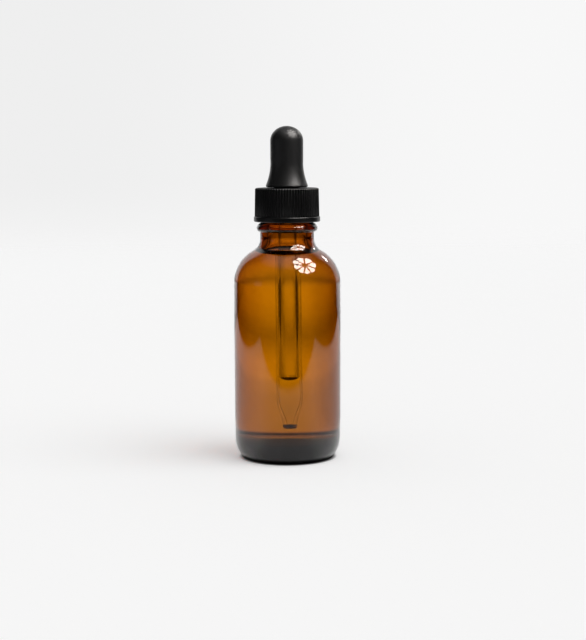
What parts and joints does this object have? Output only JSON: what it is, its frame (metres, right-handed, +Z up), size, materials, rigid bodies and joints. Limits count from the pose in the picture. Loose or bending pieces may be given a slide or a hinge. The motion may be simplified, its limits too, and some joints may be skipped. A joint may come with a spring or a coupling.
{
  "type": "amber dropper bottle",
  "caption": "Round-shouldered amber glass bottle with a ribbed screw cap, a rubber squeeze bulb and a glass pipette that unscrews, lifts out and draws up liquid.",
  "frame": {"origin": "middle of the bottle's base, on the surface that it stands on", "axes": "+Z up along the bottle's axis; the bottle is round, so +X and -Y (towards the picture's camera) are a choice"},
  "size_m": [0.0388, 0.0388, 0.1204],
  "materials": {
    "amber_glass": "clear amber soda-lime glass, fire-smooth",
    "black_polypropylene": "moulded black polypropylene, satin",
    "black_rubber": "moulded black rubber, matt",
    "clear_glass": "clear drawn glass tube, fire-polished ends"
  },
  "bodies": {
    "bottle": {"bottle": "amber_glass"},
    "dropper": {"pipette": "clear_glass"},
    "closure": {"bulb_base": "black_rubber"},
    "cap": {"screw_cap": "black_polypropylene"},
    "bulb": {"bulb_dome": "black_rubber"}
  },
  "joints": [
    {"name": "dropper_lift", "type": "slide", "parent": "bottle", "child": "dropper", "axis": [0, 0, 1], "range_m": [0, 0.092]},
    {"name": "thread_rise", "type": "slide", "parent": "dropper", "child": "closure", "axis": [0, 0, 1], "range_m": [0, 0.0032]},
    {"name": "cap_turn", "type": "hinge", "parent": "closure", "child": "cap", "pos_m": [0, 0, 0.086], "axis": [0, 0, 1], "range_deg": [0, 360]},
    {"name": "bulb_squeeze", "type": "slide", "parent": "closure", "child": "bulb", "axis": [0, 0, -1], "range_m": [0, 0.004], "stiffness_N_per_m": 800, "deforming": ["bulb_dome"]}
  ],
  "couplings": [
    {"joint": "thread_rise", "follows": "cap_turn", "m_per_rad": 0.00050532}
  ]
}
